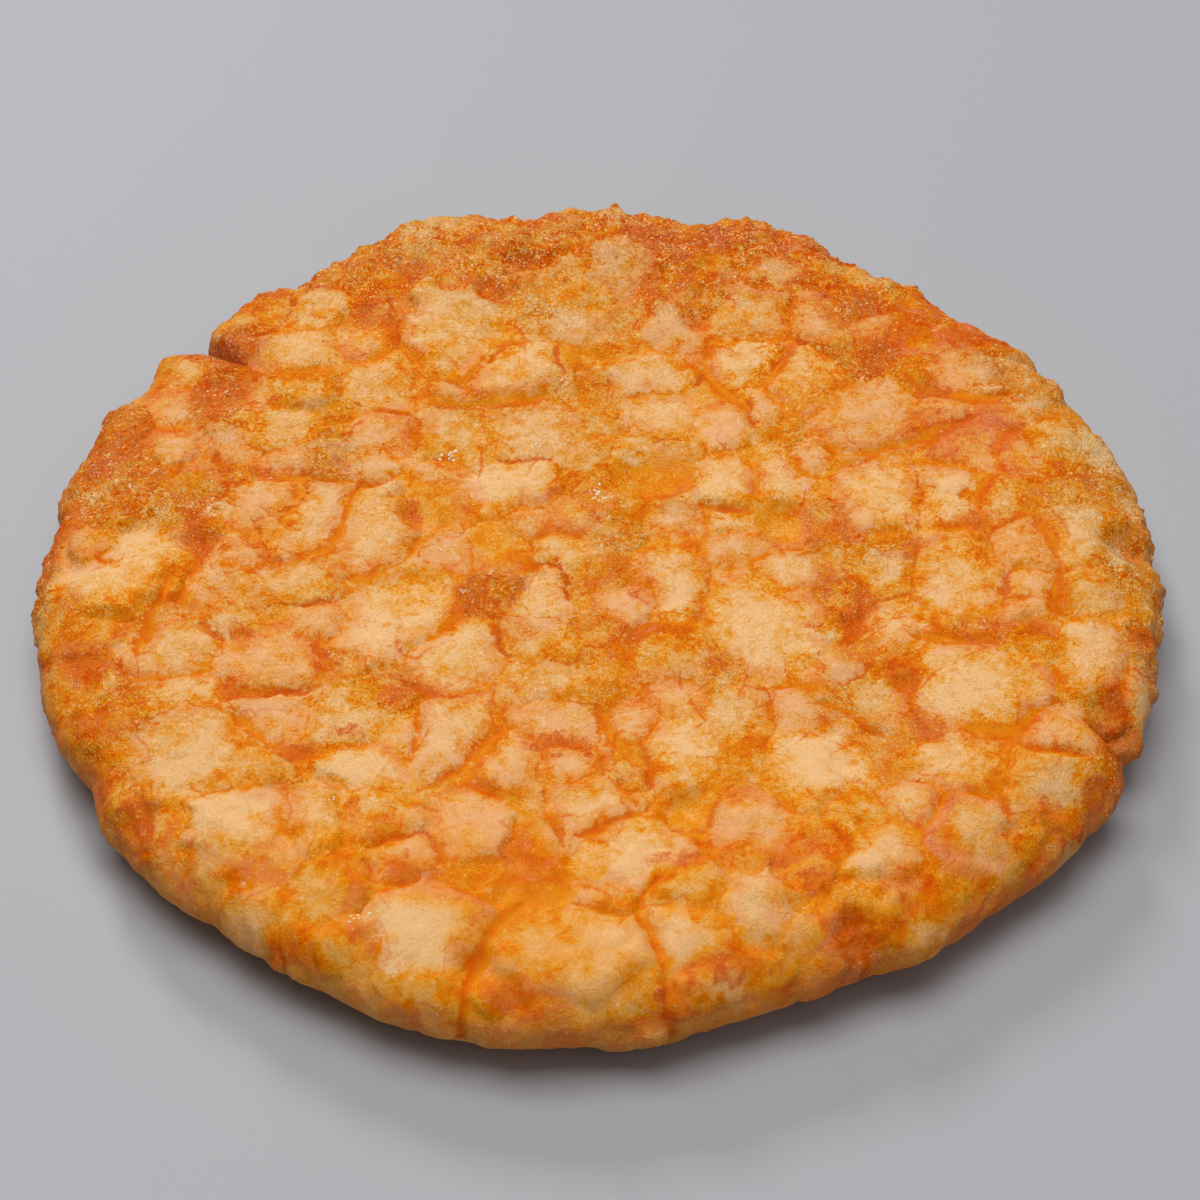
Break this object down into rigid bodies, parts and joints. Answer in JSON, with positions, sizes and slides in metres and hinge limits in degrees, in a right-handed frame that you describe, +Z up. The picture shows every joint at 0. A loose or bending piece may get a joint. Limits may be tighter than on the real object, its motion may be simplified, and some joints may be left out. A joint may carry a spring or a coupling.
{
  "type": "round fried rice cracker",
  "caption": "Round puffed rice cracker, a flat disc of blistered, cracked golden crust with a rounded, uneven rim and a nicked edge.",
  "frame": {"origin": "on the surface the cracker rests on, under the middle of its box", "axes": "+Z up through the thickness, -Y to the side nearest the viewer, +X to the viewer's right"},
  "size_m": [0.1088, 0.112, 0.0115],
  "materials": {
    "fried_crust": "blistered golden crust with a thin oily sheen"
  },
  "bodies": {
    "root": {"cracker": "fried_crust"}
  },
  "joints": []
}
